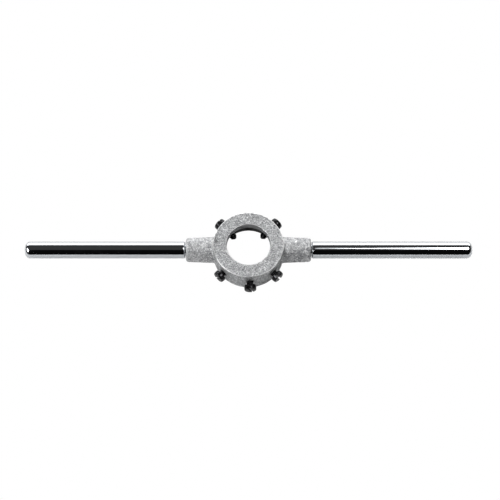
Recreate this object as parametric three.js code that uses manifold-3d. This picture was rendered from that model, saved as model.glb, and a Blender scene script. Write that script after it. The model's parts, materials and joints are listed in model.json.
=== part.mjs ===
// Die stock for round threading dies of 38 x 14 mm: a cast holder with two
// tapered bosses, two round steel handles and five slotted cheese-head screws.
//
// Millimetres. The origin is where the die's axis crosses the handles' centreline.
// +X runs along the right-hand handle. +Z runs along the die's axis, towards the
// guide face. The die drops into its pocket from the other side, -Z.

import * as THREE from "three";
import { mergeVertices } from "three/addons/utils/BufferGeometryUtils.js";
import Module from "manifold-3d";

const wasm = await Module();
wasm.setup();

// ---- driving dimensions ----------------------------------------------------

const overallLength = 315;
const fitGap = 0.3; // room left between a screwed-in piece and its hole

const die = { diameter: 38, thickness: 14, clearance: 0.1 };

const ring = { outerRadius: 24.8, lipThickness: 5.4, guideRadius: 15.3 };
ring.edge = 0.35; // of the outer corners and the guide hole's mouth
ring.pocketChamfer = 1.0; // leads the die into its pocket
ring.thickness = die.thickness + ring.lipThickness;
ring.guideFace = ring.thickness / 2;
ring.pocketFace = -ring.thickness / 2;
ring.seat = ring.pocketFace + die.thickness;
ring.pocketRadius = die.diameter / 2 + die.clearance;

const boss = { reach: 44.3, rootRadius: 9.35, endRadius: 8.6, edge: 1.6, start: 20.5 };

const handle = { radius: 6, endRounding: 3.6, shoulderWidth: 1.0, shoulderDrop: 0.6 };
handle.stubRadius = 5;
handle.stubLength = 16;
handle.stubChamfer = 0.8;
handle.shoulder = boss.reach + fitGap;

// An M5 x 14 screw, measured from its point along its own axis.
const screw = { radius: 2.5, length: 14, coneAngle: 90 };
screw.headHeight = 3.3;
screw.headRadius = 4.25; // of the straight side, up to taperStart
screw.taperStart = 1.7;
screw.rimRadius = 4.0; // where the taper meets the chamfer
screw.rimChamfer = 0.7;
screw.headFaceRadius = 3.5;
screw.slotWidth = 1.3;
screw.slotDepth = 1.9;

// angle: where the screw enters the ring, in degrees from +X towards +Y.
// tip: distance of its point from the die's axis as the screws stand.
// flat: radius of the flat on its point. slot: the slot's turn from the ring's
// tangent towards +Z. The holes are drilled a degree or two off even spacing.
const screws = [
  { name: "holding_screw_right", angle: 45.8, tip: 12.9, flat: 0.8, slot: 25 },
  { name: "holding_screw_left", angle: 135.5, tip: 12.8, flat: 0.8, slot: 105 },
  { name: "closing_screw_left", angle: 225, tip: 13.0, flat: 0.8, slot: 57 },
  { name: "spreading_screw", angle: 272.5, tip: 13.5, flat: 0.2, slot: 116 },
  { name: "closing_screw_right", angle: 315, tip: 13.1, flat: 0.8, slot: 110 },
];

const facets = { ring: 96, boss: 48, handle: 48, screw: 32 };

// ---- materials -------------------------------------------------------------

const castZinc = new THREE.MeshStandardMaterial({ color: 0xa6a8a9, roughness: 0.62, metalness: 0.85 });
const chromedSteel = new THREE.MeshStandardMaterial({ color: 0xdcdee0, roughness: 0.08, metalness: 1.0 });
const blackOxide = new THREE.MeshStandardMaterial({ color: 0x1b1b1c, roughness: 0.42, metalness: 0.7 });

// ---- helpers ---------------------------------------------------------------

const radians = THREE.MathUtils.degToRad;

// Points of a circular arc, both ends included; angles are in degrees.
function arc(x, y, radius, from, to, steps) {
  const points = [];
  for (let i = 0; i <= steps; i += 1) {
    const angle = radians(from + ((to - from) * i) / steps);
    points.push([x + radius * Math.cos(angle), y + radius * Math.sin(angle)]);
  }
  return points;
}

// A turned shape: [radius, height] points swept round the Y axis.
function turned(points, segments) {
  return new THREE.LatheGeometry(points.map(([r, h]) => new THREE.Vector2(r, h)), segments);
}

// Turns a shape built along +Y so that it runs out along a ray in the XY plane.
function alongRay(geometry, angle) {
  return geometry.rotateZ(radians(angle - 90));
}

function toSolid(geometry) {
  const bare = geometry.clone();
  bare.deleteAttribute("normal");
  bare.deleteAttribute("uv");
  const merged = mergeVertices(bare);
  return new wasm.Manifold(new wasm.Mesh({
    numProp: 3,
    vertProperties: new Float32Array(merged.attributes.position.array),
    triVerts: new Uint32Array(merged.index.array),
  }));
}

function toGeometry(solid) {
  const { vertProperties, triVerts } = solid.getMesh();
  const geometry = new THREE.BufferGeometry();
  geometry.setAttribute("position", new THREE.BufferAttribute(vertProperties, 3));
  geometry.setIndex(new THREE.BufferAttribute(triVerts, 1));
  geometry.computeVertexNormals();
  return geometry;
}

function named(name, geometry, material) {
  const mesh = new THREE.Mesh(geometry, material);
  mesh.name = name;
  return mesh;
}

// ---- the casting -----------------------------------------------------------

// The ring: a 38 mm pocket open to -Z, and the lip that the die seats on.
function ringShape() {
  const { outerRadius, guideRadius, pocketRadius, pocketFace, seat, guideFace } = ring;
  const { edge, pocketChamfer } = ring;
  const profile = [
    [pocketRadius + pocketChamfer, pocketFace],
    ...arc(outerRadius - edge, pocketFace + edge, edge, -90, 0, 2),
    ...arc(outerRadius - edge, guideFace - edge, edge, 0, 90, 2),
    [guideRadius + edge, guideFace],
    [guideRadius, guideFace - edge],
    [guideRadius, seat],
    [pocketRadius, seat],
    [pocketRadius, pocketFace + pocketChamfer],
    [pocketRadius + pocketChamfer, pocketFace],
  ];
  return turned(profile, facets.ring).rotateX(Math.PI / 2);
}

// A boss tapers outwards from the ring and ends in a rounded rim.
function bossShape(angle) {
  const { reach, rootRadius, endRadius, edge, start } = boss;
  const profile = [
    [0, start],
    [rootRadius, start],
    ...arc(endRadius - edge, reach - edge, edge, 0, 90, 3),
    [0, reach],
  ];
  return alongRay(turned(profile, facets.boss), angle);
}

// What a drill leaves: a plain cylinder between two distances from the die's axis.
function drilling(radius, from, to, segments, angle) {
  const profile = [[0, from], [radius, from], [radius, to], [0, to]];
  return toSolid(alongRay(turned(profile, segments), angle));
}

function stockBody() {
  const overrun = 1.5; // how far a drilling passes the face it opens through
  const handleHole = handle.stubRadius + fitGap;
  const handleHoleBottom = handle.shoulder - handle.stubLength - 2 * fitGap;
  const screwHole = screw.radius + fitGap;
  let body = toSolid(ringShape());
  for (const angle of [0, 180]) {
    const hole = drilling(handleHole, handleHoleBottom, boss.reach + overrun, facets.handle, angle);
    body = body.add(toSolid(bossShape(angle))).subtract(hole);
  }
  for (const { angle } of screws) {
    const inside = ring.pocketRadius - overrun;
    const outside = ring.outerRadius + overrun;
    body = body.subtract(drilling(screwHole, inside, outside, facets.screw, angle));
  }
  return named("stock_body", toGeometry(body), castZinc);
}

// ---- the handles -----------------------------------------------------------

// A bright rod with a rounded free end and a stub that screws into the boss.
function handleRod(name, angle) {
  const { radius, endRounding, shoulder, stubRadius, stubChamfer } = handle;
  const stubEnd = shoulder - handle.stubLength;
  const end = overallLength / 2;
  const profile = [
    [0, stubEnd],
    [stubRadius - stubChamfer, stubEnd],
    [stubRadius, stubEnd + stubChamfer],
    [stubRadius, shoulder],
    [radius - handle.shoulderDrop, shoulder],
    [radius, shoulder + handle.shoulderWidth],
    ...arc(radius - endRounding, end - endRounding, endRounding, 0, 90, 5),
    [0, end],
  ];
  return named(name, alongRay(turned(profile, facets.handle), angle), chromedSteel);
}

// ---- the screws ------------------------------------------------------------

// Built along +Y with its point at the origin, then moved out to its place.
function cheeseHeadScrew({ name, angle, tip, flat, slot }) {
  const { radius, length, coneAngle, headRadius, headFaceRadius, headHeight } = screw;
  const coneLength = (radius - flat) / Math.tan(radians(coneAngle / 2));
  const faceAt = length + headHeight;
  const profile = [
    [0, 0],
    [flat, 0],
    [radius, coneLength],
    [radius, length],
    [headRadius, length],
    [headRadius, length + screw.taperStart],
    [screw.rimRadius, faceAt - screw.rimChamfer],
    [headFaceRadius, faceAt],
    [0, faceAt],
  ];
  // The cutter lies along X, which alongRay turns into the ring's tangent.
  const cutter = new THREE.BoxGeometry(3 * headRadius, 2 * screw.slotDepth, screw.slotWidth);
  cutter.rotateY(radians(slot));
  cutter.translate(0, faceAt, 0);
  const blank = toSolid(turned(profile, facets.screw));
  const geometry = toGeometry(blank.subtract(toSolid(cutter)));
  geometry.translate(0, tip, 0);
  return named(name, alongRay(geometry, angle), blackOxide);
}

// ---- the assembly ----------------------------------------------------------

const dieStock = new THREE.Group();
dieStock.add(stockBody());
dieStock.add(handleRod("right_handle", 0));
dieStock.add(handleRod("left_handle", 180));
for (const place of screws) {
  dieStock.add(cheeseHeadScrew(place));
}

export default dieStock;
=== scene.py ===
# %% [markdown]
# # A die stock in Blender
#
# A die stock holds a round threading die while two hands turn it. This one is a zinc
# casting, a ring with a boss on each side, with two chromed steel handles screwed into
# the bosses and five blackened screws that grip the die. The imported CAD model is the
# frame: it says where everything is and what moves. Blender gives each piece its real
# surface, so every piece made here stands in the place of one CAD node.

import itertools
import json
import math

import bmesh
import bpy
import numpy as np
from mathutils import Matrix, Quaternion, Vector


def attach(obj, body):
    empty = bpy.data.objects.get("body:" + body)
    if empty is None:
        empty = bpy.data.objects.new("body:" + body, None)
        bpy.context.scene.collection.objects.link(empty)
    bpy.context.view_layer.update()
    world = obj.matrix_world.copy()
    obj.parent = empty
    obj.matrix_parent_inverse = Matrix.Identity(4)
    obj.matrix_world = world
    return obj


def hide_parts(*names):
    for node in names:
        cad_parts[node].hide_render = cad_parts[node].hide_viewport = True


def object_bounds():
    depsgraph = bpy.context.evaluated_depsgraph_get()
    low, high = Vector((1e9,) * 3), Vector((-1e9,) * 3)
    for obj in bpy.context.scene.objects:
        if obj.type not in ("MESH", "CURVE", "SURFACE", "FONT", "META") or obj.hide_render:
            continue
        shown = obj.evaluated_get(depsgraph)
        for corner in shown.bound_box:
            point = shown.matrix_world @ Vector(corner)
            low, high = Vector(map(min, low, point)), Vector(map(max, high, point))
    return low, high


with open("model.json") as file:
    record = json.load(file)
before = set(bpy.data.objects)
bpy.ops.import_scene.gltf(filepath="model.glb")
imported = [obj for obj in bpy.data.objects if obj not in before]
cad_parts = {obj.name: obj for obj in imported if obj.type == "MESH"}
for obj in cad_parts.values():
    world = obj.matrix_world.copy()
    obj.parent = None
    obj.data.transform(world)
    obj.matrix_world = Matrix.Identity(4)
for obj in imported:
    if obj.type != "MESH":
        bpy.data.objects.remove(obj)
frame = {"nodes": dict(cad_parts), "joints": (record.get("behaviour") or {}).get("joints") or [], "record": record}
CAD_BOX = [list(corner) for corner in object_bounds()]
MM = 0.001
print("CAD box, mm:", np.round(np.array(CAD_BOX) / MM, 2).tolist())

# %% [markdown]
# ## Sizes from the frame
#
# The main sizes are read off the CAD nodes instead of being typed again, so the looks can't
# drift from the design. The ring reaches outer_radius along Y, the guide hole's radius is the
# smallest distance of a corner point from the die's axis, and the pocket's is read at the
# die's seat and again at its mouth. Each screw's axis is its joint's axis, which points
# inwards, and its point stands where its CAD corner points begin along that axis.

# %% Measure the CAD nodes
LEVEL = 0.01  # mm; corner points no further apart in height than this are level


def corner_points(node):
    """The CAD node's own corner points, in mm."""
    mesh = frame["nodes"][node].data
    flat = np.empty(len(mesh.vertices) * 3, np.float32)
    mesh.vertices.foreach_get("co", flat)
    return flat.reshape(-1, 3).astype(float) / MM


stock = corner_points("stock_body")
stock_radius = np.hypot(stock[:, 0], stock[:, 1])
face_z = stock[:, 2].max()
boss_reach = stock[:, 0].max()
outer_radius = stock[:, 1].max()
guide_radius = stock_radius.min()
seat_z = next(m["pos_m"][2] for m in frame["record"]["mounts"] if m["name"] == "die_seat") / MM
seat_radius = stock_radius[np.abs(stock[:, 2] - seat_z) < LEVEL]
pocket_radius = seat_radius[seat_radius < outer_radius].max()
mouth_radius = stock_radius[stock[:, 2] < -face_z + LEVEL].min()

rod = corner_points("right_handle")
rod_radius = rod[:, 1].max()
rod_end = rod[:, 0].max()
rod_start = rod[:, 0].min()
print(f"ring {outer_radius:.2f}, guide hole {guide_radius:.2f} mm radius")
print(f"pocket {pocket_radius:.2f} mm radius, {mouth_radius:.2f} at its mouth")
print(f"handle {rod_radius:.2f} mm radius, from {rod_start:.1f} to {rod_end:.1f} mm")

# %% [markdown]
# ## From numbers to meshes
#
# Every shape below is a grid of points worked out as one numpy array. `grid_quads` lists
# the quads of such a grid, and `piece_from` turns points and faces into a finished object:
# it merges points that meet, turns every face outwards, and marks only the real edges
# sharp, so that the rest shades smoothly.

# %% Mesh helpers
MERGE_WITHIN = 2e-6  # metres; points this close become one


def grid_quads(rows, columns, around=False):
    """Corner numbers of the quads of a rows x columns grid; around joins last column to first."""
    numbers = np.arange(rows * columns).reshape(rows, columns)
    if around:
        numbers = np.concatenate([numbers, numbers[:, :1]], axis=1)
    quads = [numbers[:-1, :-1], numbers[:-1, 1:], numbers[1:, 1:], numbers[1:, :-1]]
    return np.stack(quads, axis=-1).reshape(-1, 4)


def piece_from(name, parts, sharp_degrees=50, merge=True):
    """One closed object from a list of (points in mm, quads)."""
    shift = np.cumsum([0] + [len(points) for points, _ in parts[:-1]])
    points = np.concatenate([points for points, _ in parts]) * MM
    quads = np.concatenate([quads + start for start, (_, quads) in zip(shift, parts)])
    mesh = bpy.data.meshes.new(name)
    mesh.from_pydata(points.tolist(), [], quads.tolist())
    if merge:
        work = bmesh.new()
        work.from_mesh(mesh)
        bmesh.ops.remove_doubles(work, verts=work.verts, dist=MERGE_WITHIN)
        bmesh.ops.dissolve_degenerate(work, dist=MERGE_WITHIN / 2, edges=work.edges)
        bmesh.ops.recalc_face_normals(work, faces=work.faces)
        work.to_mesh(mesh)
        work.free()
    mesh.polygons.foreach_set("use_smooth", np.ones(len(mesh.polygons), bool))
    mesh.set_sharp_from_angle(angle=math.radians(sharp_degrees))
    piece = bpy.data.objects.new(name, mesh)
    bpy.context.scene.collection.objects.link(piece)
    return piece


def report(piece):
    """Prints a piece's size, faces and open edges."""
    work = bmesh.new()
    work.from_mesh(piece.data)
    open_edges = sum(not edge.is_manifold for edge in work.edges)
    triangles = sum(len(face.verts) - 2 for face in work.faces)
    work.free()
    size = np.round(np.array(piece.dimensions) / MM, 2).tolist()
    print(f"{piece.name}: {size} mm, {triangles} triangles, {open_edges} open edges")


def arc(centre, radius, start, end, steps=8):
    """Points of an arc about centre, from one angle in degrees to another."""
    angle = np.radians(np.linspace(start, end, steps + 1))
    return np.stack([centre[0] + radius * np.cos(angle), centre[1] + radius * np.sin(angle)], 1)


# %% [markdown]
# ## The casting
#
# A die-cast part has no hard edges: every corner is a small radius and every inside corner
# a fillet, because molten metal doesn't fill or leave a sharp one. Bevelling booleans is
# fragile where a cone meets a cylinder, so the casting is written as a field instead: a
# function that is negative in the metal, positive in the air and zero on the skin. Joining
# two shapes is a minimum of their fields, cutting is a maximum, and rounding either is one
# more term. The skin is then drawn where the field is zero.

# %% Fields that join and cut with a radius
def join(a, b, fillet):
    """Both shapes: the smaller field. Where both fields are under the fillet's radius, a quarter
    circle of that radius joins them."""
    gap = np.hypot(np.maximum(fillet - a, 0), np.maximum(fillet - b, 0))
    return np.maximum(fillet, np.minimum(a, b)) - gap


def common(a, b, edge):
    """What is in both shapes: the larger field, with the edge between them rounded to that radius."""
    gap = np.hypot(np.maximum(edge + a, 0), np.maximum(edge + b, 0))
    return np.minimum(-edge, np.maximum(a, b)) + gap


# %% The casting's own sizes, in mm
RIM_EDGE = 0.5  # radius of the ring's outer corners
MOUTH_EDGE = 0.3  # radius at the mouths of pocket, guide hole and handle holes
SCREW_MOUTH_EDGE = MOUTH_EDGE / 2
BOSS_FILLET = 1.6  # radius where a boss grows out of the ring
BOSS_RIM = 1.6  # radius round the end of a boss
BOSS_ROOT = (20.5, 9.35)  # distance from the die's axis, radius of the boss there
BOSS_END = (42.7, 8.6)  # the same further out; the boss is a cone through both
BOSS_DOME = 0.35  # how far a boss's end face stands out in its middle
HANDLE_HOLE = (28.0, 5.3)  # distance of its bottom from the die's axis, radius
TAPPED_HOLE = 2.62  # radius of the screws' holes


def screw_axes():
    """The screws' names and the directions in which they point outwards."""
    found = {}
    for joint in frame["joints"]:
        found[joint["child"]] = -np.array(joint["axis"], float)
    return found


SCREWS = screw_axes()
print("screws:", {name: np.round(axis, 3).tolist() for name, axis in SCREWS.items()})


# %% The field
def casting_field(p):
    """The casting: a cylinder joined to two cones along X, cut level, then bored and drilled.
    A round shape's field is the distance from its axis less its radius there."""
    x, y, z = p[..., 0], p[..., 1], p[..., 2]
    radius = np.hypot(x, y)
    out = np.abs(x)
    around = np.hypot(y, z)
    slope = (BOSS_END[1] - BOSS_ROOT[1]) / (BOSS_END[0] - BOSS_ROOT[0])
    side = (around - BOSS_ROOT[1] - slope * (out - BOSS_ROOT[0])) / math.hypot(1, slope)
    end = out - boss_reach + BOSS_DOME * (around / BOSS_END[1]) ** 2
    body = join(radius - outer_radius, common(side, end, BOSS_RIM), BOSS_FILLET)
    body = common(body, np.abs(z) - face_z, RIM_EDGE)
    pocket = np.maximum(radius - pocket_radius, z - seat_z)
    lead_in = (radius - mouth_radius + z + face_z) / math.sqrt(2)
    bore = np.minimum(np.minimum(pocket, lead_in), radius - guide_radius)
    body = common(body, -bore, MOUTH_EDGE)
    handle_hole = np.maximum(around - HANDLE_HOLE[1], HANDLE_HOLE[0] - out)
    body = common(body, -handle_hole, MOUTH_EDGE)
    for axis in SCREWS.values():
        along = x * axis[0] + y * axis[1]
        aside = np.hypot(x * axis[1] - y * axis[0], z)
        body = common(body, -np.maximum(aside - TAPPED_HOLE, -along), SCREW_MOUTH_EDGE)
    return body


# %% [markdown]
# To draw the skin, space is divided into small cubes. Each cube that the skin passes
# through gets one point, at the mean of the places where the skin cuts its edges, and each
# cube edge that the skin cuts gets one quad, between the four cubes around it. The method
# is called surface nets. The points are then slid down the field's slope onto its exact
# zero, so the flats are flat and the bores are round.

# %% Surface nets
def skin(field, low, high, step):
    """Points and quads of the field's zero surface inside a box, on cubes of that step."""
    axes = [np.arange(a, b + step, step) for a, b in zip(low, high)]
    value = field(np.stack(np.meshgrid(*axes, indexing="ij"), axis=-1))
    inside = value < 0
    cells = [n - 1 for n in inside.shape]
    corners = sum(
        inside[i : i + cells[0], j : j + cells[1], k : k + cells[2]].astype(int)
        for i, j, k in itertools.product((0, 1), repeat=3)
    )
    crossed = (corners > 0) & (corners < 8)
    number = np.full(cells, -1)
    number[crossed] = np.arange(crossed.sum())
    base = np.argwhere(crossed)
    total, hits = np.zeros(base.shape), np.zeros(len(base))
    quads = []
    for axis in range(3):
        step_on = np.eye(3, dtype=int)[axis]
        u, v = np.eye(3, dtype=int)[[a for a in range(3) if a != axis]]
        for i, j in itertools.product((0, 1), repeat=2):
            start = base + i * u + j * v
            here, there = value[tuple(start.T)], value[tuple((start + step_on).T)]
            cut = (here < 0) != (there < 0)
            part = np.where(cut, here / np.where(cut, here - there, 1), 0)
            total += np.where(cut[:, None], start + part[:, None] * step_on, 0)
            hits += cut
        before = inside[tuple(slice(0, n - d) for n, d in zip(inside.shape, step_on))]
        after = inside[tuple(slice(d, n) for n, d in zip(inside.shape, step_on))]
        cut = np.argwhere(before != after)
        ring = [number[tuple((cut - i * u - j * v).T)] for i, j in ((0, 0), (1, 0), (1, 1), (0, 1))]
        ring = np.stack(ring, axis=1)
        turn = before[tuple(cut.T)] ^ (axis == 1)
        quads.append(np.where(turn[:, None], ring, ring[:, ::-1]))
    points = np.array([a[0] for a in axes]) + step * total / hits[:, None]
    return points, np.concatenate(quads)


def slope_of(field, points, reach=0.01):
    """The field's slope at each point, from its change over a short reach along X, Y and Z."""
    steps = np.eye(3) * reach
    return np.stack([(field(points + s) - field(points - s)) / (2 * reach) for s in steps], axis=-1)


def settle(field, points, rounds=4, least=0.05):
    """Slides points onto the field's zero: each step is value times slope over slope squared,
    where the square is never taken as less than least."""
    for _ in range(rounds):
        slope = slope_of(field, points)
        weight = field(points) / np.maximum((slope**2).sum(-1), least)
        points = points - weight[:, None] * slope
    return points


# %% [markdown]
# A casting cools unevenly and is tumbled with stones, so its faces roll a little, by a few
# hundredths of a millimetre. The roll is a sum of plane waves in random directions. The
# bores and the die's seat are turned afterwards, so they stay true. Five attributes, one
# number a point each, tell the material where it is: `as_cast` is 1 on the bosses, which
# keep the mould's coarse skin, `rubbed_painted_highlight` is 1 at the ring's outer corners and round the guide
# hole's mouth, which tumbling polishes and which get a lighter tint that is partly a painted
# highlight, `turned_face` is 1 in the guide hole, `pocket_painted_shade` is 1 in the pocket, which is
# painted darker as the shade under the lip, and `gate_scar` is 1 where the metal ran into
# the mould and the runner was broken off.

# %% Cast the stock
CUBE = 0.4  # side of the cubes
OFF_GRID = 0.13  # moves the cubes' faces off the casting's flat ones
RUBBED_HIGHLIGHT_WIDTH = 0.6  # how far from a corner the tumbling and the painted highlight show
RUBBED_HIGHLIGHT_FADE = 0.3  # over how much of that width it fades
MACHINED_FADE = 0.15  # over how much the turned guide hole or the pocket's painted shade gives way to the cast skin
TURNED_BEYOND = 0.2  # how far past the guide hole's wall its look ends
POCKET_SHADE_ABOVE = 0.3  # how far above the die's seat the pocket's painted shade ends
GATE = np.array([-0.93 * outer_radius, 2.5, face_z])  # where the metal ran in, on the left
GATE_SPREAD = np.array([1.8, 5.0, 2.5])  # how far the scar reaches along X, Y and Z


def roll(points, seed, waves=48, longest=5.0, shortest=1.0, height=0.02):
    """How far the skin has sunk: waves of random direction, with heights in proportion to
    their lengths, lowered until only the highest crests keep their full size."""
    draw = np.random.default_rng(seed)
    direction = draw.normal(size=(waves, 3))
    direction /= np.linalg.norm(direction, axis=1)[:, None]
    length = np.geomspace(longest, shortest, waves)
    phase = draw.uniform(0, 2 * math.pi, waves)
    crest = np.cos(points @ (direction * (2 * math.pi / length)[:, None]).T + phase)
    swell = height * (crest * (length / length.mean())).sum(1) / math.sqrt(waves / 2)
    return swell - swell.max()


def store(piece, name, values):
    """Keeps one number a point in the mesh, for the material to read."""
    layer = piece.data.attributes.new(name, "FLOAT", "POINT")
    layer.data.foreach_set("value", values.astype(np.float32))


def even_corners(piece, outward, rubbed_painted_highlight):
    """Where the corners are worn, shades them by the field's own slope, so that light runs
    evenly along a corner narrower than the mesh; elsewhere by the mesh, which has the roll."""
    normals = np.empty(len(outward) * 3, np.float32)
    piece.data.vertex_normals.foreach_get("vector", normals)
    eased = normals.reshape(-1, 3) * (1 - rubbed_painted_highlight)[:, None] + outward * rubbed_painted_highlight[:, None]
    eased /= np.linalg.norm(eased, axis=1)[:, None]
    piece.data.normals_split_custom_set_from_vertices(eased.tolist())


def cast_stock():
    """The casting: surface nets, settled on the field, then rolled where it wasn't machined."""
    high = np.array([boss_reach, outer_radius, face_z]) + 2 * CUBE
    points, quads = skin(casting_field, -high - OFF_GRID, high, CUBE)
    points = settle(casting_field, points)
    slope = slope_of(casting_field, points)
    outward = slope / np.linalg.norm(slope, axis=1)[:, None]
    radius = np.hypot(points[:, 0], points[:, 1])
    # Painted shade: the pocket, which lies in shadow under the lip, is darkened in the material's colour; being
    # machined, it is also left unrolled.
    in_pocket = np.minimum(mouth_radius - radius, seat_z + POCKET_SHADE_ABOVE - points[:, 2])
    pocket_painted_shade = np.clip(in_pocket / MACHINED_FADE, 0, 1)
    turned_face = np.clip((guide_radius + TURNED_BEYOND - radius) / MACHINED_FADE, 0, 1)
    rough = roll(points, seed=7) * (1 - np.maximum(pocket_painted_shade, turned_face))
    piece = piece_from("stock_casting", [(points + outward * rough[:, None], quads)], merge=False)
    corner = np.hypot(radius - outer_radius, np.abs(points[:, 2]) - face_z)
    mouth = np.hypot(radius - guide_radius, points[:, 2] - face_z)
    # Worn corners and mouth; the material tints them lighter, partly as a painted highlight along the rims.
    rubbed_painted_highlight = np.clip((RUBBED_HIGHLIGHT_WIDTH - np.minimum(corner, mouth)) / RUBBED_HIGHLIGHT_FADE, 0, 1)
    even_corners(piece, outward, rubbed_painted_highlight)
    from_gate = np.linalg.norm((points - GATE) / GATE_SPREAD, axis=1)
    store(piece, "rubbed_painted_highlight", rubbed_painted_highlight)
    store(piece, "as_cast", np.clip((np.abs(points[:, 0]) - outer_radius) / BOSS_FILLET, 0, 1))
    store(piece, "turned_face", turned_face)
    store(piece, "pocket_painted_shade", pocket_painted_shade)
    store(piece, "gate_scar", np.exp(-(from_gate**2)))
    return piece


casting = cast_stock()
report(casting)
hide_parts("stock_body")
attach(casting, "stock")

# %% [markdown]
# ## Turned pieces
#
# A handle is turned on a lathe, so it is a profile swept round an axis: `turned` takes
# distances along the axis and radii, and gives a grid of rings. A thread is the same sweep
# with a radius that also depends on the angle: going once round moves the tooth along by one
# pitch. Written that way, a thread needs no helix and no boolean.

# %% A sweep round an axis
THREAD_DEPTH = 0.6134  # of a metric thread, in pitches


def turned(along, radius, angles):
    """Rings of a swept profile: radius times cosine, radius times sine, distance along. Ring i
    is at along[i], and radius is one number a ring or one a point."""
    along, radius = np.asarray(along, float), np.asarray(radius, float)
    if radius.ndim == 1:
        radius = radius[:, None] * np.ones(len(angles))
    height = along[:, None] * np.ones(len(angles))
    points = np.stack([radius * np.cos(angles), radius * np.sin(angles), height], axis=-1)
    return points.reshape(-1, 3), grid_quads(len(along), len(angles), around=True)


def tooth(phase):
    """The metric thread's profile over one pitch: 1 on the crest, which is an eighth of the pitch
    wide, 0 in the root, which is a quarter wide, and straight between them."""
    crest_end, root_start = 1 / 16, 3 / 8
    away = np.abs(phase % 1 - 0.5)
    return np.clip((root_start - away) / (root_start - crest_end), 0, 1)


def thread(along, angles, major, pitch):
    """Radius of a metric thread at each distance along and each angle: the root's radius plus the
    depth times the tooth, whose phase is distance over pitch less the turns gone round."""
    depth = THREAD_DEPTH * pitch
    phase = np.asarray(along)[:, None] / pitch - np.asarray(angles)[None, :] / (2 * math.pi)
    return major - depth + depth * tooth(phase)


def placed(points, origin, x_axis, y_axis, z_axis):
    """Points given along three axes, moved to where those axes really are."""
    return np.asarray(origin) + points @ np.array([x_axis, y_axis, z_axis], float)


# %% [markdown]
# ## The handles
#
# Each handle is a 12 mm steel rod, rounded at its free end, ground, polished and chromed.
# At its other end a small chamfer leads to an M10 stud, which is hidden in the boss. Only
# smooth rings give chrome clean reflections, so the rounded end has many of them.

# %% Turn the handles
BOSS_GAP = 0.3  # between the boss and the rod's shoulder
SHOULDER = boss_reach + BOSS_GAP
# The stud's thread ends run_out before the shoulder.
STUD = {"major": 4.95, "pitch": 1.5, "chamfer": 0.8, "run_out": 0.4, "rings": 160}
NECK = {"radius": 4.3, "width": 0.3}  # between the stud and the shoulder
FACE_RADIUS = 5.2  # of the shoulder's flat face
FACE_EDGE = 0.25  # radius of the corner between that face and the chamfer
CHAMFER = 1.0  # how far along the rod the chamfer reaches
END_ROUNDING = 3.6  # radius round the free end
ROD_SIDES = 128
BARREL_RINGS = 24
BARREL = np.linspace(SHOULDER + 2, rod_end - END_ROUNDING - 1, BARREL_RINGS)
ROD_OUTLINE = np.concatenate([  # distance along the rod, radius, from the neck to the free end
    [[SHOULDER - NECK["width"], NECK["radius"]], [SHOULDER, NECK["radius"]], [SHOULDER, FACE_RADIUS]],
    arc((SHOULDER + FACE_EDGE, FACE_RADIUS + FACE_EDGE), FACE_EDGE, 180, 135, 3),
    [[SHOULDER + 0.75 * CHAMFER, 5.9], [SHOULDER + CHAMFER, rod_radius]],
    [[along, rod_radius] for along in BARREL],
    arc((rod_end - END_ROUNDING, rod_radius - END_ROUNDING), END_ROUNDING, 90, 2, 24),
    [[rod_end, 1.5], [rod_end, 0]],
])


def handle(name, direction):
    """A rod along +X or -X: the stud's thread, then the outline swept round the axis."""
    angles = np.linspace(0, 2 * math.pi, ROD_SIDES, endpoint=False)
    stud_along = np.linspace(rod_start, SHOULDER - STUD["run_out"], STUD["rings"])
    stud = thread(stud_along, angles, STUD["major"], STUD["pitch"])
    lead = STUD["major"] - STUD["chamfer"] + (stud_along - rod_start)
    stud = np.minimum(stud, lead[:, None])
    around = np.ones(ROD_SIDES)
    radius = np.concatenate([[0 * around], stud, ROD_OUTLINE[:, 1:] * around])
    along = np.concatenate([[rod_start], stud_along, ROD_OUTLINE[:, 0]])
    points, quads = turned(along, radius, angles)
    points = placed(points, (0, 0, 0), (0, 1, 0), (0, 0, 1), (direction, 0, 0))
    piece = piece_from(name, [(points, quads)])
    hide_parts(name.replace("_rod", "_handle"))
    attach(piece, "stock")
    return piece


rods = [handle("right_rod", 1), handle("left_rod", -1)]
for rod_piece in rods:
    report(rod_piece)

# %% [markdown]
# ## The screws
#
# These are M5 cheese-head screws: a round head with a taper and a chamfer round its face, a
# straight slot, a thread and a cone point. Everything up to the middle of the head is one
# turned sweep. The slotted rest of the head is a second grid, made of rows that run along
# the slot: each row is the head's outline cut at that distance from the middle, so the
# slot's walls fall exactly between two rows and stay straight. Both grids use the same
# angles where they meet, and merge there.

# %% The head's sizes and its outline
# The shank is length long, and its thread ends run_out before the head, where the neck begins.
SCREW = {"major": 2.48, "pitch": 0.8, "length": 14.0, "head": 3.3, "neck": 2.2, "run_out": 0.9}
SHANK_RINGS = 250
HEAD_RADIUS = 4.25
HEAD_LOWER_EDGE = 0.15  # radius of the rounding under the head
HEAD_CORNER = 0.9  # radius of the rounding between the head's side and its face
HEAD_ROWS = 18  # on each side of the slot
SLOT = {"width": 1.3, "depth": 1.9, "edge": 0.12}
POINT_FLAT = 0.8  # radius of the flat on a screw's point
SHARP_FLAT = 0.2  # the same on the spreading screw's, which has to enter the die's slit
SLOT_TURN = {  # degrees from the ring's tangent towards +Z
    "holding_screw_right": 25,
    "holding_screw_left": 105,
    "closing_screw_left": 57,
    "spreading_screw": 116,
    "closing_screw_right": 110,
}
FACE = SCREW["length"] + SCREW["head"]
HEAD_OUTLINE = np.concatenate([  # distance along the screw, radius, from mid-head to the face
    [[FACE - SLOT["depth"] - 0.15, HEAD_RADIUS], [FACE - 1.6, 4.245], [FACE - 1.1, 4.15]],
    arc((FACE - HEAD_CORNER, 3.3), HEAD_CORNER, 65, 5, 8),
    [[FACE, 2.8], [FACE, 2.0], [FACE, 1.0], [FACE, 0.0]],
])


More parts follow.
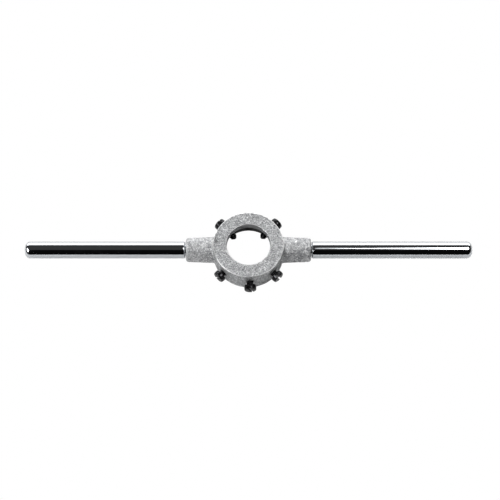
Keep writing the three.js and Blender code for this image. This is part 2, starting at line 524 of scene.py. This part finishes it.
# %% Two grids for one head
def head_rows():
    """Distances from the slot's middle, and the height that each row is cut down to."""
    half, edge = SLOT["width"] / 2, SLOT["edge"]
    bottom = FACE - SLOT["depth"]
    slot = [(0, bottom), (half * 0.6, bottom), (half, bottom), (half, FACE - edge)]
    slot += [(half + 0.3 * edge, FACE - 0.3 * edge), (half + edge, FACE)]
    first = math.asin((half + edge) / HEAD_RADIUS)
    rest = HEAD_RADIUS * np.sin(np.linspace(first, math.pi / 2, HEAD_ROWS)[1:])
    rows = slot + [(v, FACE) for v in rest]
    return np.array([(-v, top) for v, top in rows[:0:-1]] + rows)


def slotted_head(rows):
    """In row v, at each point of the outline: x is plus or minus the root of radius squared less
    v squared, and the height is the outline's, cut down to the row's."""
    v, top = rows[:, :1], rows[:, 1:]
    along, radius = HEAD_OUTLINE[:, 0], HEAD_OUTLINE[:, 1]
    half_chord = np.sqrt(np.maximum(radius**2 - v**2, 0))
    height = np.interp(-np.maximum(radius, np.abs(v)), -radius, along)
    height = np.minimum(height, top)
    height[:, 0] = along[0]
    x = np.concatenate([-half_chord, half_chord[:, ::-1]], axis=1)
    height = np.concatenate([height, height[:, ::-1]], axis=1)
    points = np.stack([x, v * np.ones(x.shape), height], axis=-1)
    return points.reshape(-1, 3), grid_quads(*x.shape)


def ring_angles(rows):
    """The angles at which the rows end on the head's side, once round."""
    right = np.arcsin(np.clip(np.unique(rows[:, 0]) / HEAD_RADIUS, -1, 1))
    left = math.pi - right[::-1]
    return np.concatenate([right, left[1:-1]])


def shank(angles, flat):
    """Cone point, thread, neck, and the underside and lower side of the head. The radius of the
    point grows as fast as the distance along, until it meets the thread's."""
    body_end = SCREW["length"]
    along = np.linspace(0, body_end - SCREW["run_out"], SHANK_RINGS)
    radius = thread(along, angles, SCREW["major"], SCREW["pitch"])
    radius = np.minimum(radius, (flat + along)[:, None])
    under_head = np.array([  # distance along the screw, radius
        [body_end - 0.6, SCREW["neck"]],
        [body_end - 0.15, SCREW["neck"]],
        [body_end, SCREW["neck"] + 0.15],
        [body_end, 3.2],
        [body_end, HEAD_RADIUS - HEAD_LOWER_EDGE],
        [body_end + 0.05, 4.21],
        [body_end + HEAD_LOWER_EDGE, HEAD_RADIUS],
        [body_end + 0.8, HEAD_RADIUS],
        [HEAD_OUTLINE[0, 0], HEAD_RADIUS],
    ])
    around = np.ones(len(angles))
    radius = np.concatenate([[0 * around, 0.5 * flat * around], radius, under_head[:, 1:] * around])
    along = np.concatenate([[0, 0], along, under_head[:, 0]])
    return turned(along, radius, angles)


# %% Make the five screws
def screw(name, outward):
    """One screw, its point where the CAD screw's point is and its head away from the ring."""
    tangent = np.array([-outward[1], outward[0], 0])
    up = np.array([0, 0, 1.0])
    turn = math.radians(SLOT_TURN[name])
    slot_way = math.cos(turn) * tangent + math.sin(turn) * up
    across = np.cross(outward, slot_way)
    tip = (corner_points(name) @ outward).min()
    flat = SHARP_FLAT if name == "spreading_screw" else POINT_FLAT
    rows = head_rows()
    parts = [slotted_head(rows), shank(ring_angles(rows), flat)]
    parts = [(placed(p, tip * outward, slot_way, across, outward), q) for p, q in parts]
    piece = piece_from(name.replace("_screw", "_cheese_head"), parts)
    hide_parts(name)
    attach(piece, name)
    return piece


screws = [screw(name, outward) for name, outward in SCREWS.items()]
for screw_piece in screws:
    report(screw_piece)

# %% [markdown]
# ## Materials
#
# Every metal is one Principled shader with a high metallic value, and the character comes
# from what varies over the surface: how rough it is, how it is dented, and how clean it is.
# `srgb` turns a hex colour into the linear numbers that the shader mixes, and `add` puts
# one node in a tree with its settings and its links.

# %% Material helpers
def srgb(code):
    """Linear colour of an sRGB hex code: a straight line near black, a power of 2.4 above."""
    levels = [int(code[i : i + 2], 16) / 255 for i in (1, 3, 5)]
    linear = [c / 12.92 if c <= 0.04045 else ((c + 0.055) / 1.055) ** 2.4 for c in levels]
    return (*linear, 1.0)


def add(tree, kind, settings=(), links=(), stops=()):
    """Adds a node. settings holds its properties and input values, and links what feeds its
    inputs, each by the input's name or number. stops are a colour ramp's (place, colour)."""
    node = tree.nodes.new("ShaderNode" + kind)
    for key, value in dict(settings).items():
        if isinstance(key, int) or key in node.inputs:
            node.inputs[key].default_value = value
        else:
            setattr(node, key, value)
    for key, source in dict(links).items():
        tree.links.new(source, node.inputs[key])
    for place, colour in stops[1:-1]:
        node.color_ramp.elements.new(place).color = colour
    for end, (place, colour) in zip((0, -1), stops[:1] + stops[-1:]):
        node.color_ramp.elements[end].position = place
        node.color_ramp.elements[end].color = colour
    return node


def new_material(name):
    """An empty material with its output node; returns the material, its tree and the output."""
    material = bpy.data.materials.new(name)
    material.use_nodes = True
    tree = material.node_tree
    tree.nodes.clear()
    return material, tree, add(tree, "OutputMaterial")


def grey(level):
    """A linear grey, for a ramp that drives a number."""
    return (level, level, level, 1.0)


def blobs(size, detail=2.0, roughness=0.5, distortion=0.0):
    """Settings of a noise with blobs about size mm across: its scale is one over that, in metres."""
    return {"Scale": 1 / (size * MM), "Detail": detail, "Roughness": roughness, "Distortion": distortion}


# A Mix node holds one set of sockets for each type; these are the numbers of the ones used.
MIX_FACTOR = 0
FLOAT_A, FLOAT_B = 2, 3
COLOUR_A, COLOUR_B = 6, 7
MIX_FLOAT_OUT = 0
MIX_COLOUR_OUT = 2

# %% [markdown]
# ### Tumbled zinc die casting
#
# Zinc casts to a fine-grained, slightly lumpy grey skin. Tumbling with stones leaves it
# matt, speckled with small dull and bright spots a millimetre or two across and creased by
# thin darker lines, and polishes only the corners, which are tinted lighter, partly as a
# painted highlight along the rims. The bosses keep larger light and dark patches. Where a
# tool has turned it, the metal is bare and smoother, with fine rings round the bore. The
# pocket is painted darker, as the shade under the lip, and the gate's scar is torn and
# pitted. A thin film of grey oxide covers it all, so it is less metallic than bare metal.

# %% The patterns in the zinc's skin
def zinc_patterns(tree, where):
    """Blotches with some specks in them, the specks alone and thin creases, as numbers."""
    blotch = add(tree, "TexNoise", blobs(1.7, detail=4, distortion=2.2), {"Vector": where})
    fine = blobs(0.75, detail=3, roughness=0.65, distortion=0.8)
    speck = add(tree, "TexNoise", fine, {"Vector": where}).outputs["Fac"]
    worm = add(tree, "TexNoise", blobs(1.7, detail=2, distortion=1.6), {"Vector": where})
    mottled = add(tree, "Mix", {MIX_FACTOR: 0.22}, {
        FLOAT_A: blotch.outputs["Fac"],
        FLOAT_B: speck,
    })
    creases = add(tree, "ValToRGB", {}, {"Fac": worm.outputs["Fac"]}, stops=[
        (0.465, grey(0.0)),
        (0.485, grey(0.85)),
        (0.505, grey(0.0)),
    ])
    return mottled.outputs[MIX_FLOAT_OUT], speck, creases.outputs["Color"]


# %% The zinc's colour
def zinc_colour(tree, where, patterns, place):
    """The tumbled skin's grey, or the bosses' coarser one, then each place's own tint over it: the corners' light
    tint is partly a painted highlight, and the pocket's dark one is painted shade.
    """
    mottle, speck, creases = patterns
    tone = add(tree, "ValToRGB", {}, {"Fac": mottle}, stops=[
        (0.37, srgb("#78797c")),
        (0.5, srgb("#aeafb0")),
        (0.63, srgb("#e6e7e8")),
    ])
    cloud = add(tree, "TexNoise", blobs(3.0, detail=3, distortion=1.0), {"Vector": where})
    coarse = add(tree, "Mix", {MIX_FACTOR: 0.3}, {FLOAT_A: mottle, FLOAT_B: cloud.outputs["Fac"]})
    skin_tone = add(tree, "ValToRGB", {}, {"Fac": coarse.outputs[MIX_FLOAT_OUT]}, stops=[
        (0.38, srgb("#75767a")),
        (0.5, srgb("#b6b7b8")),
        (0.62, srgb("#f0f0f1")),
    ])
    pits = add(tree, "ValToRGB", {}, {"Fac": speck}, stops=[
        (0.42, grey(1.0)),
        (0.52, grey(0.0)),
    ])
    scar = add(tree, "Math", {"operation": "MULTIPLY"}, {
        0: pits.outputs["Color"],
        1: place["gate_scar"],
    })
    casting_tone = add(tree, "Mix", {"data_type": "RGBA"}, {
        MIX_FACTOR: place["as_cast"],
        COLOUR_A: tone.outputs["Color"],
        COLOUR_B: skin_tone.outputs["Color"],
    })
    colour = casting_tone.outputs[MIX_COLOUR_OUT]
    for amount, tint in (
        (creases, srgb("#6c6d70")),
        (scar.outputs["Value"], srgb("#2c2c2d")),
        # partly worn metal, partly a painted highlight: the corners and the guide hole's mouth are tinted lighter
        (place["rubbed_painted_highlight"], srgb("#eeeeee")),
        (place["turned_face"], srgb("#b6b7b9")),
        # painted shade: the pocket is darkened, as the shadow under the lip
        (place["pocket_painted_shade"], srgb("#565657")),
    ):
        layer = add(tree, "Mix", {"data_type": "RGBA", COLOUR_B: tint}, {
            MIX_FACTOR: amount,
            COLOUR_A: colour,
        })
        colour = layer.outputs[MIX_COLOUR_OUT]
    return colour


# %% The zinc's roughness and relief
def zinc_roughness(tree, speck, place):
    """Matt, a little less so in the bright specks, and smoother at the worn corners or where turned."""
    dull = add(tree, "ValToRGB", {}, {"Fac": speck}, stops=[
        (0.35, grey(0.68)),
        (0.65, grey(0.5)),
    ])
    shine = dull.outputs["Color"]
    for amount, roughness in ((place["rubbed_painted_highlight"], 0.28), (place["turned_face"], 0.36)):
        layer = add(tree, "Mix", {FLOAT_B: roughness}, {MIX_FACTOR: amount, FLOAT_A: shine})
        shine = layer.outputs[MIX_FLOAT_OUT]
    return shine


def zinc_relief(tree, where, mottle, place):
    """Dents that follow the mottling, rings where turned, and fine pores over both."""
    # The tool's marks are a tenth of a millimetre apart, too fine to show, so these are wider.
    squeeze = add(tree, "Mapping", {"Scale": (0.03, 0.03, 1.0)}, {"Vector": where})
    rings = add(tree, "TexNoise", blobs(0.35), {"Vector": squeeze.outputs["Vector"]})
    grain = add(tree, "TexNoise", blobs(0.18), {"Vector": where})
    relief = add(tree, "Mix", {}, {
        MIX_FACTOR: place["turned_face"],
        FLOAT_A: mottle,
        FLOAT_B: rings.outputs["Fac"],
    })
    # The dents are 0.9 of their full strength, less 0.88 where the corners are worn smooth.
    depth = add(tree, "Math", {"operation": "MULTIPLY_ADD", 1: -0.88, 2: 0.9}, {0: place["rubbed_painted_highlight"]})
    dents = add(tree, "Bump", {"Distance": 0.45 * MM}, {
        "Height": relief.outputs[MIX_FLOAT_OUT],
        "Strength": depth.outputs["Value"],
    })
    pores = add(tree, "Bump", {"Distance": 0.012 * MM}, {
        "Height": grain.outputs["Fac"],
        "Strength": depth.outputs["Value"],
        "Normal": dents.outputs["Normal"],
    })
    return pores.outputs["Normal"]


# %% Zinc
PLACES = ("as_cast", "rubbed_painted_highlight", "turned_face", "pocket_painted_shade", "gate_scar")


def tumbled_zinc():
    """Grey zinc: speckled and dented where cast, bright at its corners, partly by a painted highlight, ringed
    where turned.
    """
    material, tree, output = new_material("tumbled_zinc_casting")
    where = add(tree, "TexCoord").outputs["Object"]
    patterns = zinc_patterns(tree, where)
    mottle, speck, _ = patterns
    place = {
        name: add(tree, "Attribute", {"attribute_name": name}).outputs["Fac"] for name in PLACES
    }
    shader = add(tree, "BsdfPrincipled", {"Metallic": 0.75}, {
        "Base Color": zinc_colour(tree, where, patterns, place),
        "Roughness": zinc_roughness(tree, speck, place),
        "Normal": zinc_relief(tree, where, mottle, place),
    })
    tree.links.new(shader.outputs["BSDF"], output.inputs["Surface"])
    return material


# %% [markdown]
# ### Chrome plate on polished steel
#
# Chromium reflects a little over half of the light, slightly blue, and is as smooth as what
# it is plated on. The rod was polished while it turned, so very fine lines run round it.
# They are too fine to show, so they are drawn about 0.3 mm wide: blobs of 4 mm, squeezed
# 14 times along the rod.

# %% Chrome
def chrome_plate():
    """Bright chromium with fine polishing lines round the rod and a few duller patches."""
    material, tree, output = new_material("chrome_plated_steel")
    where = add(tree, "TexCoord").outputs["Object"]
    squeeze = add(tree, "Mapping", {"Scale": (14.0, 1.0, 1.0)}, {"Vector": where})
    lines = add(tree, "TexNoise", blobs(4.0, detail=4, roughness=0.7), {"Vector": squeeze.outputs["Vector"]})
    haze = add(tree, "TexNoise", blobs(9.0, detail=3), {"Vector": where})
    dull = add(tree, "ValToRGB", {}, {"Fac": haze.outputs["Fac"]}, stops=[
        (0.35, grey(0.045)),
        (0.7, grey(0.1)),
    ])
    tone = add(tree, "ValToRGB", {}, {"Fac": lines.outputs["Fac"]}, stops=[
        (0.3, srgb("#bcbfc2")),
        (0.7, srgb("#c6c9cc")),
    ])
    polish = add(tree, "Bump", {"Strength": 0.05, "Distance": 0.0005 * MM}, {
        "Height": lines.outputs["Fac"],
    })
    shader = add(tree, "BsdfPrincipled", {"Metallic": 1.0}, {
        "Base Color": tone.outputs["Color"],
        "Roughness": dull.outputs["Color"],
        "Normal": polish.outputs["Normal"],
    })
    tree.links.new(shader.outputs["BSDF"], output.inputs["Surface"])
    return material


# %% [markdown]
# ### Black-oxide steel
#
# The screws are blackened in a hot salt bath and oiled. The black is a skin of oxide a
# thousandth of a millimetre thick, so the steel's turned surface still shows as a satin
# gleam, uneven where the oil has dried.

# %% Black oxide
def black_oxide():
    """Near-black steel with a satin, patchy gleam and a fine turned grain."""
    material, tree, output = new_material("black_oxide_steel")
    where = add(tree, "TexCoord").outputs["Object"]
    oil = add(tree, "TexNoise", blobs(1.4, detail=3), {"Vector": where})
    grain = add(tree, "TexNoise", blobs(0.12), {"Vector": where})
    tone = add(tree, "ValToRGB", {}, {"Fac": oil.outputs["Fac"]}, stops=[
        (0.4, srgb("#101011")),
        (0.62, srgb("#464648")),
    ])
    dull = add(tree, "ValToRGB", {}, {"Fac": oil.outputs["Fac"]}, stops=[
        (0.3, grey(0.36)),
        (0.7, grey(0.2)),
    ])
    rough = add(tree, "Bump", {"Strength": 0.3, "Distance": 0.02 * MM}, {"Height": grain.outputs["Fac"]})
    shader = add(tree, "BsdfPrincipled", {"Metallic": 0.9}, {
        "Base Color": tone.outputs["Color"],
        "Roughness": dull.outputs["Color"],
        "Normal": rough.outputs["Normal"],
    })
    tree.links.new(shader.outputs["BSDF"], output.inputs["Surface"])
    return material


# %% Give each piece its finish
def finish_with(material, *pieces):
    """Puts the material in the only slot of each piece."""
    for piece in pieces:
        piece.data.materials.clear()
        piece.data.materials.append(material)
    print(f"{material.name}: {', '.join(piece.name for piece in pieces)}")


finish_with(tumbled_zinc(), casting)
finish_with(chrome_plate(), *rods)
finish_with(black_oxide(), *screws)

# %% [markdown]
# ## Floor, light and camera
#
# The tool lies on a pale matt table. Polished rods show their whole surroundings, so the
# lights are shapes to be seen in them as much as lamps. A broad bright wall low behind the
# tool makes the white line along each rod's far side. A soft box high on the right makes the
# second line, on the right-hand rod only, and a small one beside it carries that line on, as
# a thinner one, up to the boss. A lamp at the front left draws the light line along the
# ring's near rim, and a faint ceiling fills in the rest. The dark between them is the unlit
# room.

# %% The stage
def floor(size=60.0):
    """A square at the height of the tool's lowest point, seen by the camera as plain white."""
    z = CAD_BOX[0][2]
    half = size / 2
    corners = [(-half, -half, z), (half, -half, z), (half, half, z), (-half, half, z)]
    mesh = bpy.data.meshes.new("table")
    mesh.from_pydata(corners, [], [(0, 1, 2, 3)])
    plane = bpy.data.objects.new("table", mesh)
    bpy.context.scene.collection.objects.link(plane)
    material, tree, output = new_material("pale_matt_table")
    paper = add(tree, "BsdfDiffuse", {"Color": srgb("#f2f2f2")})
    white = add(tree, "Emission", {"Strength": 1.0})
    seen = add(tree, "LightPath").outputs["Is Camera Ray"]
    choice = add(tree, "MixShader", {}, {0: seen, 1: paper.outputs["BSDF"], 2: white.outputs["Emission"]})
    tree.links.new(choice.outputs[0], output.inputs["Surface"])
    mesh.materials.append(material)


def soft_box(name, place, aim, size, power, roll=0):
    """A rectangular area light at place, facing aim, turned about its own middle by roll
    degrees. Lengths are in metres and the power is in watts."""
    light = bpy.data.lights.new(name, "AREA")
    light.shape = "RECTANGLE"
    light.size, light.size_y = size
    light.energy = power
    lamp = bpy.data.objects.new(name, light)
    lamp.location = place
    facing = (Vector(aim) - Vector(place)).to_track_quat("-Z", "Y")
    lamp.rotation_euler = (facing @ Quaternion((0, 0, 1), math.radians(roll))).to_euler()
    bpy.context.scene.collection.objects.link(lamp)
    print(f"{name}: {size[0]} by {size[1]} m, {power} W")


def room(level):
    """A dim even room, which the camera sees as plain white."""
    world = bpy.data.worlds.new("room")
    world.use_nodes = True
    tree = world.node_tree
    tree.nodes["Background"].inputs["Strength"].default_value = 1.0
    seen = add(tree, "LightPath").outputs["Is Camera Ray"]
    colour = add(tree, "ValToRGB", {}, {"Fac": seen}, stops=[(0.0, grey(level)), (1.0, grey(1.0))])
    tree.links.new(colour.outputs["Color"], tree.nodes["Background"].inputs["Color"])
    bpy.context.scene.world = world


floor()
soft_box("back_wall", (0, 1.1, 0.47), (0, 0, 0.3), (2.8, 1.0), 23.5)
soft_box("overhead_box", (0.404, -0.045, 0.8), (0.404, -0.045, 0), (0.41, 0.41), 2.8, roll=45)
soft_box("overhead_end", (0.118, -0.03, 0.8), (0.118, -0.03, 0), (0.05, 0.19), 0.037)
soft_box("front_lamp", (-0.72, -0.3, 0.62), (0, 0, 0), (0.74, 0.26), 7.2)
soft_box("ceiling", (0, 0.2, 1.6), (0, 0.2, 0), (4.0, 1.75), 1.3)
room(0.004)

# %% The camera
CAMERA_ELEVATION = 65.8  # degrees above the table
CAMERA_DISTANCE = 0.80  # metres
FIELD_WIDTH = 0.3532  # metres across the picture, at the tool
AIM = Vector((1.06 * MM, 0, 0))


def look(elevation, distance, width, aim):
    """A camera in front of the tool, that high above the table, looking along +Y and down."""
    data = bpy.data.cameras.new("camera")
    data.lens = data.sensor_width * distance / width
    data.clip_start = 0.01
    camera = bpy.data.objects.new("camera", data)
    tilt = math.radians(elevation)
    camera.location = aim + distance * Vector((0, -math.cos(tilt), math.sin(tilt)))
    camera.rotation_euler = (math.pi / 2 - tilt, 0, 0)
    bpy.context.scene.collection.objects.link(camera)
    bpy.context.scene.camera = camera
    bpy.context.scene.view_settings.view_transform = "Standard"
    print(f"lens {data.lens:.1f} mm at {distance} m")


look(CAMERA_ELEVATION, CAMERA_DISTANCE, FIELD_WIDTH, AIM)
